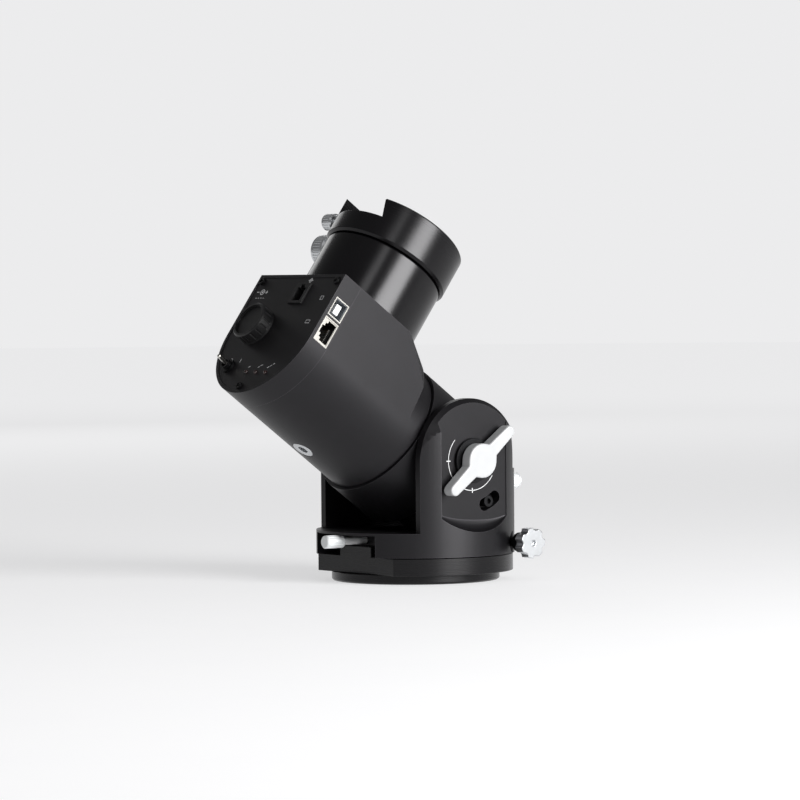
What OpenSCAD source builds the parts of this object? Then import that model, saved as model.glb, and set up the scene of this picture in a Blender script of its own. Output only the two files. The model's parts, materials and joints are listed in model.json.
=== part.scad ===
// Strain-wave equatorial mount head for a small telescope.
// +Z is up, -X is towards the pole, the origin is the centre of the underside.
// The polar axis rises towards -X, the declination axis rises towards +X.

/* [Setting] */
// Latitude the head is set to, degrees
latitude = 36; // [34:0.5:40]
// Tilt either way that the clamp slots allow, degrees
tilt_travel = 9; // [6:1:9]

/* [Base] */
// Radius of the ring that drops into the pier
adapter_r = 49.5; // [42:0.5:56]
// Height of that ring
adapter_h = 5.5; // [4.5:0.5:8]
// Radius of the base plate
base_r = 57.5; // [54:0.5:68]
// Height of the base plate
base_h = 10; // [8:0.5:13]
// Distance from the azimuth axis to the flat north end of the base plate
base_flat = 44.5; // [41:0.5:50]
// Radius of the central 3/8 inch thread, at its crests
thread_r = 4; // [3:0.1:5]
// Pitch circle radius of the four pier screws
pier_screw_pcr = 34; // [30:0.5:37]

/* [Fork] */
// Outer radius of the fork
fork_r = 58.5; // [58:0.5:70]
// Height of the fork foot, up to the floor between the cheeks
foot_h = 14.1; // [13.5:0.1:16]
// Height of the tilt pivot above the underside
pivot_z = 71.5; // [70:0.5:80]
// Offset of the tilt pivot towards the south
pivot_x = 2.5; // [0:0.5:5]
// Radius of a cheek about the tilt pivot
cheek_r = 36; // [35:0.5:40]
// Distance from the middle to the machined flat on a cheek
cheek_flat = 51; // [50:0.5:54]
// Half width of that flat
flat_half = 25; // [22:0.5:27]
// Radius of the pocket's lower end about the tilt pivot
pocket_r = 41.5; // [38:0.5:44]
// Height of the rear wall above the underside
wall_top = 65; // [55:1:68]
// Thickness of the rear wall
wall_t = 6; // [4:0.5:8]
// Half width of the notch under the floor at the north
notch_half = 28; // [22:0.5:32]

/* [Tilt clamp] */
// Radius of a tilt pin
pin_r = 8; // [5:0.5:9]
// Distance of the slot bolt from the tilt pivot
slot_r = 27.5; // [25:0.5:28]
// Direction of the slot bolt below the horizontal, degrees
slot_angle = 62; // [50:1:75]
// Radius of the slot bolt
slot_bolt_r = 3.2; // [2:0.1:4]
// Length of a wing lever from its hub to the middle of a tip
lever_reach = 26.5; // [18:0.5:30]
// Radius of the lever hub
lever_hub_r = 10; // [8:0.5:12]

/* [Azimuth] */
// Distance of the azimuth post and screws from the azimuth axis
post_x = 38; // [34:0.5:41]
// Radius of the azimuth post
post_r = 5; // [3:0.5:6]
// Radius of the azimuth screws
az_screw_r = 3; // [2:0.5:4]
// Azimuth adjustment either way, degrees
az_travel = 6; // [3:1:6]
// Radius of a lobed azimuth knob
az_knob_r = 9; // [7:0.5:11]

/* [Altitude screw] */
// Radius of the altitude screw
alt_screw_r = 2.2; // [1.5:0.1:2.8]
// Radius of the altitude knob
alt_knob_r = 3.8; // [3:0.1:5]
// Length of the altitude knob
alt_knob_l = 13; // [8:0.5:16]

/* [Polar unit] */
// Distance that the polar axis passes below the tilt pivot
polar_offset = 3; // [0:0.5:4]
// Radius of the polar housing
ra_r = 43; // [41.5:0.5:44.5]
// Radius of its tail
tail_r = 33; // [30:0.5:35]
// Distance of the tail's end behind the tilt pivot
tail_s = 22; // [18:0.5:24]
// Height along the polar axis where the turning housing starts
dec_start = 35; // [34:0.5:38]

/* [Declination unit] */
// Half width of the D-shaped housing
dec_half = 41; // [38:0.5:42]
// Height of its flat top above the polar axis
dec_top = 42; // [41:0.5:46]
// Height along the polar axis of the seam of the port ring
ring_s = 117.3; // [114:0.1:124]
// Height along the polar axis of the front face
front_s = 131; // [128:0.5:138]
// Height along the polar axis of the declination axis
dec_s = 86; // [80:0.5:88]
// Start of the bevel on the shoulders of the housing
bevel_s = 75; // [68:0.5:80]
// Wall of the housing
shell_t = 4; // [2.5:0.5:5]
// Radius of the drum under the saddle
drum_r = 36.75; // [34:0.25:38]
// Height of the top of the drum above the polar axis
drum_top = 79.2; // [76:0.1:86]

/* [Saddle] */
// Radius of the saddle
saddle_r = 38.5; // [37:0.5:46]
// Height of the saddle
saddle_h = 25.5; // [23:0.5:30]
// Width of the dovetail channel at its floor
channel_w = 44; // [40:0.5:46]
// Depth of the dovetail channel
channel_d = 12; // [9:0.5:13]
// Slope of the channel sides from the vertical, degrees
channel_slope = 15; // [10:1:20]
// Radius of the main clamp knob
clamp_knob_r = 9.7; // [7:0.1:12]
// Radius of the safety knob
safety_knob_r = 5; // [4:0.1:7]

/* [Ports] */
// Width of the network socket
network_w = 16; // [14:0.5:18]
// Width of the data socket
data_w = 12; // [10:0.5:14]
// Radius of the power socket's cap
cap_r = 12; // [9:0.5:14]

/* [Hidden] */
$fn = 72;

// Colours
black_anodised = "#2b2a2d";
dark_steel = "#3a3a3e";
bright_aluminium = "#d9dbdd";
bare_steel = "#a9acb0";
black_plastic = "#17171a";
board_green = "#1f5a3a";
bronze = "#9a6a3c";

// Fits and gaps
run_gap = 0.05;
slide_gap = 0.3;
face_gap = 0.4;
eps = 0.01;

// Heights of the base stack
plate_z = adapter_h;
plate_top = plate_z + base_h;
fork_z = plate_top + face_gap;
floor_z = fork_z + foot_h;
hub_r = 16;
hub_top = fork_z + 2.6;
recess_z = fork_z + 2.4;
retainer_r = 21;
retainer_h = 1.3;
recess_r = 27;
screw_z = plate_top + 9.1;
notch_roof = screw_z + alt_knob_r + slide_gap;
az_screw_z = plate_top + 6.8;
hub_bore_r = 6;
pad_half = 15;
pad_x = base_flat - 5;
notch_x = pad_x - 2.5;
az_room = post_x * sin(az_travel) + 1;

// Fork widths
cheek_in = ra_r + 0.8;
boss_face = cheek_in - 0.2;
north_x = pivot_x - cheek_r;
cheek_bevel = 2.5;
crown_r = cheek_r - cheek_bevel - fork_r + cheek_flat;

// Polar drive: face of the web, radius of the fixed rings
drive_h = 26;
drive_wall = 3.5;
ra_drive_r = ra_r - drive_wall - 0.2;
ra_web_s = dec_start - drive_h;
dec_drive_r = drum_r - drive_wall - 0.2;
saddle_z = drum_top + face_gap;
dec_web_z = saddle_z - drive_h;
web_t = 4;
ball_r = 2;
motor_back = 3;
spline_h = 7;
bearing_h = 19;
cable_bore_r = 10;
boss_r = 32;
tail_cavity_r = tail_r - 3.5;
cap_t = 2;
arm_t = 4;
arm_half = 8.5;
nut_half = 4.4;
nut_top = 3.1;
nut_pin_r = 2;
nut_w = 5;
pin_out = cheek_flat + 0.2;

// Saddle
channel_z = saddle_z + saddle_h - channel_d;
saddle_top = saddle_z + saddle_h;
channel_top_half = channel_w / 2 - channel_d * tan(channel_slope);
jaw_y = saddle_r * 0.79;
clamp_x = -4;
clamp_z = saddle_z + 9.6;
clamp_screw_r = 2.5;
guide_x = 20;
guide_r = 2;
saddle_screw_pcr = 14;
saddle_screw_r = 2;
safety_x = -saddle_r / 2;
safety_z = channel_z + channel_d / 2;

// Front panel
panel_t = 1.6;
panel_inset = 2;
panel_s = front_s - 0.3 - panel_t;

// Adjusters
stop_z = 55.5;
az_surface = sqrt(fork_r * fork_r - post_x * post_x);
az_collar_r = az_screw_r * 1.9;
az_knob_z = az_surface + 12.5;
alt_knob_x = -fork_r + 4.5;

// Declination housing
corner_r = sqrt(dec_half * dec_half + dec_top * dec_top);
plug_s = dec_s - 13.5;
plug_r = 6.5;
drum_hole_r = dec_drive_r - 9;
board_s = ring_s - 8;

// Sockets in the side of the port ring, as heights above the polar axis
network_mid = 7.2;
network_h = 11;
data_mid = network_mid + network_w / 2 + data_w / 2 + 1.2;
data_h = 10.8;
port_mid_s = (ring_s + panel_s) / 2;

// Places on the panel: height above the polar axis, then distance to the east
power_at = [4.4, 14.3];
guide_at = [28.5, -7.5];
switch_at = [-23, 21];
switch_tilt = 13;
light_at = [-26.4, -7.8];
light_step = 9.2;
screw_head_r = 2.3;
screw_inset = panel_inset + screw_head_r + 0.5;
panel_screw_at = [
    [dec_top - screw_inset, dec_half - screw_inset],
    [dec_top - screw_inset, screw_inset - dec_half],
    [screw_inset - dec_half, 0]];

// Places the children with their Z along the polar axis and X along the declination axis
module ra_frame() {
    translate([pivot_x, 0, pivot_z])
        rotate([0, latitude - 90, 0])
            translate([-polar_offset, 0, 0])
                children();
}

// Places the children with their Z along the declination axis and X towards the pivot
module dec_frame() {
    ra_frame()
        translate([0, 0, dec_s])
            rotate([0, 90, 0])
                children();
}

// Places the children with their Z along the tilt axis, pointing out of one cheek
module tilt_axis(side) {
    translate([pivot_x, 0, pivot_z])
        rotate([-90 * side, 0, 0])
            children();
}

// A tube from z0 to z1
module tube(outer, inner, z0, z1) {
    translate([0, 0, z0])
        difference() {
            cylinder(r = outer, h = z1 - z0);
            translate([0, 0, -1])
                cylinder(r = inner, h = z1 - z0 + 2);
        }
}

// A solid disc from z0 to z1
module disc(radius, z0, z1) {
    translate([0, 0, z0])
        cylinder(r = radius, h = z1 - z0);
}

// Copies the children evenly round Z at a radius
module ring_of(count, radius, start = 0) {
    for (i = [0 : count - 1])
        rotate([0, 0, start + i * 360 / count])
            translate([radius, 0, 0])
                children();
}

// A socket-head screw along Z, head down to z = 0, shank upwards
module cap_screw(shank_r, head_r, head_h, length) {
    difference() {
        union() {
            cylinder(r = head_r, h = head_h);
            cylinder(r = shank_r, h = head_h + length);
        }
        translate([0, 0, -eps])
            cylinder(r = shank_r * 0.85, h = head_h * 0.6, $fn = 6);
    }
}

/* ---------- base ---------- */

module pier_adapter() {
    color(black_anodised)
        difference() {
            rotate_extrude()
                polygon([[0, 0], [adapter_r - 1, 0], [adapter_r, 1], [adapter_r, adapter_h], [0, adapter_h]]);
            translate([0, 0, -1])
                cylinder(r = thread_r, h = adapter_h + 2);
            ring_of(4, pier_screw_pcr, 45) {
                translate([0, 0, -1])
                    cylinder(r = 3.3, h = adapter_h + 2);
                translate([0, 0, -1])
                    cylinder(r = 5.6, h = 4);
            }
            ring_of(3, adapter_r - 9, 60)
                translate([0, 0, -1])
                    cylinder(r = 2.5, h = adapter_h + 2);
        }
}

module base_screws() {
    color(dark_steel) {
        ring_of(4, pier_screw_pcr, 45)
            translate([0, 0, 0.4])
                cap_screw(3, 5.2, 2.6, adapter_h + base_h - 6);
        ring_of(4, 12, 45)
            translate([0, 0, hub_top + retainer_h])
                mirror([0, 0, 1])
                    cap_screw(1.25, 2.4, 1, 6);
    }
}

module base_plate() {
    color(black_anodised)
        difference() {
            union() {
                intersection() {
                    translate([0, 0, plate_z])
                        cylinder(r = base_r, h = base_h);
                    translate([-base_flat, -base_r, plate_z])
                        cube([base_flat + base_r, 2 * base_r, base_h]);
                }
                disc(hub_r, plate_top - 1, hub_top);
                translate([-base_flat, -pad_half, plate_top - 1])
                    cube([base_flat - pad_x, 2 * pad_half, screw_z - alt_screw_r - plate_top]);
            }
            translate([0, 0, plate_z - 1])
                cylinder(r = hub_bore_r, h = base_h + hub_top);
            ring_of(3, adapter_r - 9, 60)
                translate([0, 0, plate_z - 1])
                    cylinder(r = 2.5, h = 6);
            ring_of(4, pier_screw_pcr, 45)
                translate([0, 0, plate_z - 1])
                    cylinder(r = 3, h = base_h - 2);
            ring_of(4, 12, 45)
                translate([0, 0, hub_top - 6])
                    cylinder(r = 1.25, h = 8);
            translate([post_x, 0, plate_top - 6])
                cylinder(r = post_r - 1.5, h = 7);
        }
}

module azimuth_post() {
    color(bare_steel)
        translate([post_x, 0, 0]) {
            disc(post_r - 1.5, plate_top - 6, plate_top);
            disc(post_r, plate_top, az_screw_z + az_screw_r + 1.2);
        }
}

module azimuth_washer() {
    color(bronze)
        tube(post_x - post_r - 5, hub_r + 4, plate_top, fork_z - run_gap);
}

module azimuth_retainer() {
    color(bare_steel)
        difference() {
            tube(retainer_r, 8, hub_top, hub_top + retainer_h);
            ring_of(4, 12, 45) {
                translate([0, 0, hub_top - 1])
                    cylinder(r = 1.25, h = 4);
                translate([0, 0, hub_top + retainer_h - 1])
                    cylinder(r = 2.4, h = 2);
            }
        }
}

/* ---------- fork ---------- */

// Outline of the fork seen along the tilt axis
module fork_outline() {
    translate([pivot_x, pivot_z])
        circle(r = cheek_r);
    translate([north_x, fork_z])
        square([2 * cheek_r, pivot_z - fork_z]);
    translate([-fork_r, fork_z])
        square([2 * fork_r, foot_h]);
    translate([0, fork_z])
        square([fork_r, wall_top - fork_z]);
}

// Rounded stock that bevels the top edge of both cheeks
module cheek_stock() {
    translate([-fork_r - 1, -fork_r - 1, fork_z])
        cube([2 * fork_r + 2, 2 * fork_r + 2, pivot_z - fork_z]);
    translate([pivot_x, 0, pivot_z])
        rotate([90, 0, 0])
            rotate_extrude()
                polygon([
                    [0, -fork_r], [crown_r, -fork_r], [cheek_r, cheek_bevel - cheek_flat],
                    [cheek_r, cheek_flat - cheek_bevel], [crown_r, fork_r], [0, fork_r]]);
}

// Machined flat on the outside of a cheek
module cheek_pocket(side) {
    tilt_axis(side)
        translate([0, 0, cheek_flat])
            intersection() {
                cylinder(r = pocket_r, h = fork_r);
                translate([-flat_half, -pocket_r, -1])
                    cube([2 * flat_half, 2 * pocket_r, fork_r]);
            }
}

// Curved slot round the tilt pivot, as long as the tilt needs
module arc_slot(side) {
    slot_half = slot_bolt_r + 0.6;
    slot_z = cheek_in - 2;
    reach = 2 * slot_r;
    tilt_axis(side)
        rotate([0, 0, side * slot_angle]) {
            intersection() {
                tube(slot_r + slot_half, slot_r - slot_half, slot_z, fork_r + 2);
                translate([0, 0, slot_z - 1])
                    linear_extrude(height = fork_r)
                        polygon([
                            [0, 0], [reach * cos(tilt_travel), -reach * sin(tilt_travel)],
                            [reach, 0], [reach * cos(tilt_travel), reach * sin(tilt_travel)]]);
            }
            for (stop = [-tilt_travel, tilt_travel])
                rotate([0, 0, stop])
                    translate([slot_r, 0, 0])
                        disc(slot_half, slot_z, fork_r + 2);
        }
}

module fork() {
    color(black_anodised)
        difference() {
            intersection() {
                translate([0, 0, fork_z])
                    cylinder(r = fork_r, h = pivot_z + cheek_r);
                translate([0, fork_r + 1, 0])
                    rotate([90, 0, 0])
                        linear_extrude(height = 2 * fork_r + 2)
                            fork_outline();
                cheek_stock();
            }
            // room between the cheeks
            intersection() {
                translate([-fork_r - 1, -cheek_in, floor_z])
                    cube([2 * fork_r, 2 * cheek_in, pivot_z + cheek_r]);
                union() {
                    translate([0, 0, floor_z - 1])
                        cylinder(r = fork_r - wall_t, h = pivot_z + cheek_r);
                    translate([-fork_r - 1, -cheek_in, floor_z])
                        cube([fork_r, 2 * cheek_in, pivot_z + cheek_r]);
                }
            }
            // room for the bosses of the polar housing
            translate([pivot_x, cheek_in, pivot_z])
                rotate([90, 0, 0])
                    cylinder(r = boss_r + 0.6, h = 2 * cheek_in);
            // recess over the azimuth hub
            translate([0, 0, recess_z])
                cylinder(r = recess_r, h = foot_h);
            translate([0, 0, fork_z - 1])
                cylinder(r = hub_r + run_gap, h = 6);
            // notch under the floor at the north
            translate([-fork_r - 1, -notch_half, fork_z - 1])
                cube([fork_r + 1 - notch_x, 2 * notch_half, notch_roof - fork_z + 1]);
            // pocket for the azimuth post
            translate([post_x - post_r - 3, -post_r - az_room, fork_z - 1])
                cube([2 * post_r + 6, 2 * (post_r + az_room), az_screw_z + az_screw_r + 3 - fork_z]);
            // bores
            translate([post_x, fork_r + 1, az_screw_z])
                rotate([90, 0, 0])
                    cylinder(r = az_screw_r + run_gap, h = 2 * fork_r + 2);
            translate([-fork_r, 0, screw_z])
                rotate([0, 90, 0])
                    cylinder(r = alt_screw_r + run_gap, h = fork_r);
            translate([0, 0, stop_z])
                rotate([0, 90, 0])
                    cylinder(r = 3 + run_gap, h = fork_r + 1);
            for (side = [-1, 1]) {
                cheek_pocket(side);
                arc_slot(side);
                az_axis(side)
                    disc(az_collar_r + 0.8, az_surface, fork_r);
                tilt_axis(side)
                    translate([0, 0, cheek_in - 2])
                        cylinder(r = pin_r + run_gap, h = fork_r);
            }
        }
}

/* ---------- adjusters ---------- */

// Lobed knob round Z, from z = 0 upwards
module lobed_knob(radius, height, lobes) {
    difference() {
        cylinder(r = radius, h = height);
        for (i = [0 : lobes - 1])
            rotate([0, 0, (i + 0.5) * 360 / lobes])
                translate([radius * 1.13, 0, -1])
                    cylinder(r = radius * 0.29, h = height + 2, $fn = 36);
        translate([0, 0, height - 2])
            cylinder(r = radius * 0.22, h = 3, $fn = 6);
    }
}

// Places the children with their Z pointing out along one azimuth screw
module az_axis(side) {
    translate([post_x, 0, az_screw_z])
        rotate([-90 * side, 0, 0])
            children();
}

module azimuth_screw(side) {
    color(dark_steel)
        az_axis(side) {
            disc(az_screw_r, post_r + 0.2 + az_screw_r, az_knob_z + 2);
            translate([0, 0, post_r + 0.2 + az_screw_r])
                sphere(r = az_screw_r);
            tube(az_collar_r, az_screw_r - 0.5, az_surface + 5.5, az_knob_z - 0.1);
        }
}

module azimuth_knob(side) {
    color(bright_aluminium)
        az_axis(side)
            translate([0, 0, az_knob_z])
                difference() {
                    lobed_knob(az_knob_r, 6.5, 7);
                    translate([0, 0, -1])
                        cylinder(r = az_screw_r + run_gap, h = 3.5);
                }
}

module azimuth_screw_west() { azimuth_screw(-1); }
module azimuth_screw_east() { azimuth_screw(1); }
module azimuth_knob_west() { azimuth_knob(-1); }
module azimuth_knob_east() { azimuth_knob(1); }

// Knurled grip round Z with rounded ends
module knurled_grip(radius, length, grooves) {
    edge = radius * 0.16;
    difference() {
        rotate_extrude()
            polygon([
                [0, 0], [radius - edge, 0], [radius, edge], [radius, length - edge],
                [radius - edge, length], [0, length]]);
        for (i = [0 : grooves - 1])
            rotate([0, 0, i * 360 / grooves])
                translate([radius + 0.15, 0, 2 * edge])
                    cylinder(r = 0.4, h = length - 4 * edge, $fn = 16);
    }
}

module altitude_knob() {
    color(bright_aluminium)
        translate([alt_knob_x, 0, screw_z])
            rotate([0, -90, 0])
                difference() {
                    knurled_grip(alt_knob_r, alt_knob_l, 16);
                    translate([0, 0, -1])
                        cylinder(r = alt_screw_r, h = alt_knob_l - 4);
                }
}

module altitude_screw() {
    color(bare_steel)
        translate([alt_knob_x - alt_knob_l + 5, 0, screw_z])
            rotate([0, 90, 0])
                cylinder(r = alt_screw_r, h = pivot_x + 18 - alt_knob_x + alt_knob_l - 5);
}

module altitude_nut() {
    color(bronze)
        translate([pivot_x, 0, screw_z])
            difference() {
                union() {
                    translate([-nut_half, -nut_w, -nut_top])
                        cube([2 * nut_half, 2 * nut_w, 2 * nut_top]);
                    rotate([90, 0, 0])
                        cylinder(r = nut_pin_r, h = 2 * arm_half, center = true);
                }
                rotate([0, 90, 0])
                    cylinder(r = alt_screw_r + run_gap, h = 20, center = true);
            }
}

module tilt_stop_knob() {
    color(bright_aluminium)
        translate([0, 0, stop_z])
            rotate([0, 90, 0]) {
                disc(3, fork_r - wall_t - 8, fork_r + 8);
                translate([0, 0, fork_r + 7])
                    knurled_grip(4.7, 12.5, 20);
            }
}

/* ---------- polar unit ---------- */

module ra_housing() {
    color(black_anodised)
        difference() {
            union() {
                ra_frame()
                    rotate_extrude()
                        polygon([
                            [0, -tail_s], [tail_r, -tail_s], [tail_r, -8], [ra_r, 0],
                            [ra_r, dec_start - face_gap], [0, dec_start - face_gap]]);
                for (side = [-1, 1])
                    tilt_axis(side)
                        disc(boss_r, tail_cavity_r - 1, boss_face);
            }
            ra_frame() {
                disc(ra_drive_r + 0.2, ra_web_s, dec_start);
                disc(tail_cavity_r, -tail_s - boss_r, ra_web_s - web_t);
                disc(tail_r + 0.2, -tail_s - boss_r, -tail_s);
                disc(cable_bore_r, ra_web_s - web_t - 1, ra_web_s + 1);
            }
            for (side = [-1, 1])
                tilt_axis(side) {
                    disc(pin_r, tail_cavity_r + 1.5, boss_face + 1);
                    rotate([0, 0, side * slot_angle])
                        translate([slot_r, 0, 0])
                            disc(slot_bolt_r, boss_face - 7, boss_face + 1);
                }
        }
}

module ra_tail_cap() {
    color(black_anodised)
        ra_frame()
            difference() {
                disc(tail_r, -tail_s - cap_t, -tail_s);
                ring_of(4, tail_r - 1.9, 45)
                    disc(0.9, -tail_s - cap_t - 1, -tail_s + 1);
            }
}

// Point in the upright plane of the polar axis: distance along it, height above the pivot
function tail_point(s, d) = [
    pivot_x - s * cos(latitude) + d * sin(latitude),
    pivot_z + s * sin(latitude) + d * cos(latitude)];

// The arm is fixed to the tail cap and straddles the altitude nut
module tilt_arm() {
    plate_s = -tail_s - cap_t;
    low = -tail_r - polar_offset;
    color(dark_steel)
        difference() {
            translate([0, arm_half, 0])
                rotate([90, 0, 0])
                    linear_extrude(height = 2 * arm_half)
                        polygon([
                            [pivot_x - 6, screw_z - 3.6], [pivot_x + 6, screw_z - 3.6],
                            tail_point(plate_s - arm_t, low + 8),
                            tail_point(plate_s - arm_t, low + 27),
                            tail_point(plate_s, low + 27), tail_point(plate_s, low + 1),
                            [pivot_x - 6, screw_z + 2.6]]);
            // gap for the nut
            translate([pivot_x - 20, -nut_w - slide_gap, screw_z - 8])
                cube([40, 2 * (nut_w + slide_gap), 14]);
            // slots for the pins of the nut
            translate([pivot_x - nut_pin_r - slide_gap, -arm_half - 1, screw_z - 8])
                cube([2 * (nut_pin_r + slide_gap), 2 * arm_half + 2, 8 + nut_pin_r + 0.1]);
        }
}

module tilt_pins() {
    color(bare_steel)
        for (side = [-1, 1])
            tilt_axis(side)
                difference() {
                    union() {
                        disc(pin_r, tail_cavity_r + 1.5, pin_out);
                        disc(lever_hub_r + 3, pin_out, pin_out + 2);
                    }
                    disc(3, pin_out - 14, pin_out + 3);
                }
}

module lever_studs() {
    color(dark_steel)
        for (side = [-1, 1])
            tilt_axis(side)
                disc(3, pin_out - 14, pin_out + 8);
}

// A wing lever: two tapered arms on a round hub
module tilt_lever(side) {
    color(bright_aluminium)
        tilt_axis(side)
            translate([0, 0, pin_out + 2.3])
                rotate([0, 0, -side * 39])
                    difference() {
                        union() {
                            cylinder(r = lever_hub_r, h = 8.2);
                            for (turn = [0, 180])
                                rotate([0, 0, turn]) {
                                    translate([0, 0, 0.8])
                                        linear_extrude(height = 7.4)
                                            polygon([
                                                [0, -6.5], [lever_reach * 0.55, -3.7],
                                                [lever_reach, -3], [lever_reach, 3],
                                                [lever_reach * 0.55, 3.7], [0, 6.5]]);
                                    translate([lever_reach, 0, 0.8])
                                        cylinder(r = 3, h = 7.4);
                                }
                        }
                        translate([0, 0, -1])
                            cylinder(r = 3 + run_gap, h = 7.2);
                    }
}

module tilt_lever_west() { tilt_lever(-1); }
module tilt_lever_east() { tilt_lever(1); }

module slot_bolts() {
    color(dark_steel)
        for (side = [-1, 1])
            tilt_axis(side)
                rotate([0, 0, side * slot_angle])
                    translate([slot_r, 0, 0])
                        difference() {
                            disc(slot_bolt_r, boss_face - 7, cheek_flat - 1);
                            translate([0, 0, cheek_flat - 3])
                                cylinder(r = slot_bolt_r * 0.55, h = 3, $fn = 6);
                        }
}

/* ---------- strain-wave drive, shared by both axes ---------- */
// Each module takes the radius of the fixed rings; z = 0 is the face of the web.

module drive_motor(radius) {
    color(dark_steel) {
        difference() {
            union() {
                disc(radius, -web_t - 15, -web_t);
                disc(9.5, -web_t - eps, -1);
            }
            disc(3.4, -web_t - 12, 1);
        }
        tube(radius * 0.45, 3, -web_t - 15 - motor_back, -web_t - 15);
    }
}

module drive_wave_generator(radius) {
    color(bare_steel) {
        disc(radius - 12.1, 0.8, 6.5);
        disc(3, -web_t - 11, 0.8);
    }
}

module drive_circular_spline(radius) {
    color(dark_steel)
        tube(radius, radius - 10.3, 0, spline_h);
}

module drive_flexspline(radius) {
    color(bare_steel) {
        tube(radius - 10.6, radius - 11.6, 0.6, 17);
        disc(radius - 11, 15.5, 17);
        disc(radius * 0.34, 16, bearing_h);
    }
}

module drive_bearing_outer(radius) {
    color(bare_steel)
        difference() {
            tube(radius, radius - 5.7, spline_h, bearing_h);
            rotate_extrude()
                translate([radius - 6.3, 14])
                    circle(r = ball_r + 0.1, $fn = 48);
        }
}

module drive_bearing_balls(radius) {
    color(bright_aluminium)
        ring_of(24, radius - 6.3)
            translate([0, 0, 14])
                sphere(r = ball_r, $fn = 24);
}

module drive_bearing_inner(radius) {
    color(bare_steel)
        difference() {
            tube(radius - 6.9, radius - 10, spline_h + 2, bearing_h);
            rotate_extrude()
                translate([radius - 6.3, 14])
                    circle(r = ball_r + 0.1, $fn = 48);
        }
}

module drive_output_flange(radius) {
    difference() {
        disc(radius - 7.3, bearing_h, drive_h);
        disc(radius * 0.2, 18, drive_h + 1);
    }
}

module on_ra_web() { ra_frame() translate([0, 0, ra_web_s]) children(); }
module on_dec_web() { dec_frame() translate([0, 0, dec_web_z]) children(); }

module ra_motor() { on_ra_web() drive_motor(tail_cavity_r - 1); }
module ra_wave_generator() { on_ra_web() drive_wave_generator(ra_drive_r); }
module ra_circular_spline() { on_ra_web() drive_circular_spline(ra_drive_r); }
module ra_bearing_outer() { on_ra_web() drive_bearing_outer(ra_drive_r); }
module ra_bearing_balls() { on_ra_web() drive_bearing_balls(ra_drive_r); }
module ra_bearing_inner() { on_ra_web() drive_bearing_inner(ra_drive_r); }
module ra_flexspline() { on_ra_web() drive_flexspline(ra_drive_r); }
module ra_output_flange() { color(black_anodised) on_ra_web() drive_output_flange(ra_drive_r); }
module dec_motor() { on_dec_web() drive_motor(dec_drive_r - 12); }
module dec_wave_generator() { on_dec_web() drive_wave_generator(dec_drive_r); }
module dec_circular_spline() { on_dec_web() drive_circular_spline(dec_drive_r); }
module dec_bearing_outer() { on_dec_web() drive_bearing_outer(dec_drive_r); }
module dec_bearing_balls() { on_dec_web() drive_bearing_balls(dec_drive_r); }
module dec_bearing_inner() { on_dec_web() drive_bearing_inner(dec_drive_r); }
module dec_flexspline() { on_dec_web() drive_flexspline(dec_drive_r); }
module dec_output_flange() {
    color(black_anodised)
        on_dec_web()
            difference() {
                drive_output_flange(dec_drive_r);
                ring_of(4, saddle_screw_pcr, 45)
                    disc(saddle_screw_r, drive_h - 4, drive_h + 1);
            }
}

/* ---------- declination unit ---------- */

// D-shaped section, grown or shrunk by an amount
module d_section(grow = 0) {
    circle(r = dec_half + grow);
    translate([0, -dec_half - grow])
        square([dec_top + grow, 2 * (dec_half + grow)]);
}

// Turned envelope that bevels the shoulders, grown or shrunk by an amount
module shoulder_envelope(grow, s0, s1) {
    rotate_extrude()
        polygon([
            [0, s0], [dec_half + grow, s0], [dec_half + grow, dec_start + 11 - grow],
            [dec_half + 5.3 + grow, dec_start + 12.5 - grow], [corner_r + 0.3 + grow, bevel_s - grow],
            [corner_r + 10, bevel_s - grow], [corner_r + 10, s1], [0, s1]]);
}

module dec_housing() {
    color(black_anodised)
        difference() {
            ra_frame()
                difference() {
                    intersection() {
                        translate([0, 0, dec_start])
                            linear_extrude(height = ring_s - dec_start)
                                d_section();
                        shoulder_envelope(0, dec_start, ring_s);
                    }
                    difference() {
                        intersection() {
                            translate([0, 0, dec_start + shell_t])
                                linear_extrude(height = ring_s)
                                    d_section(-shell_t);
                            shoulder_envelope(-shell_t, dec_start + shell_t, 2 * ring_s);
                        }
                        // boss for the counterweight bar
                        translate([0, 0, plug_s])
                            rotate([0, -90, 0])
                                disc(plug_r + 3, dec_half - 16, dec_half + 5);
                    }
                    translate([0, 0, plug_s])
                        rotate([0, -90, 0])
                            disc(plug_r, dec_half - 12, dec_half + 5);
                    disc(cable_bore_r, dec_start - 1, dec_start + shell_t + 1);
                }
            dec_frame()
                disc(drum_hole_r, dec_top - shell_t - 1, dec_top + 1);
        }
}

module counterweight_plug() {
    color(bright_aluminium)
        ra_frame()
            translate([0, 0, plug_s])
                rotate([0, -90, 0])
                    difference() {
                        disc(plug_r, dec_half - 12, dec_half - 0.2);
                        translate([0, 0, dec_half - 5])
                            cylinder(r = plug_r * 0.5, h = 6, $fn = 6);
                    }
}

module port_ring() {
    color(black_anodised)
        ra_frame()
            difference() {
                translate([0, 0, ring_s])
                    linear_extrude(height = front_s - ring_s)
                        d_section();
                translate([0, 0, ring_s - 1])
                    linear_extrude(height = front_s)
                        d_section(-shell_t);
                translate([0, 0, panel_s])
                    linear_extrude(height = front_s)
                        d_section(-panel_inset);
                translate([data_mid - data_w / 2, -dec_half - 1, port_mid_s - data_h / 2])
                    cube([data_w, shell_t + 2, data_h]);
                translate([network_mid - network_w / 2, -dec_half - 1, port_mid_s - network_h / 2])
                    cube([network_w, shell_t + 2, network_h]);
            }
}

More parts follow.
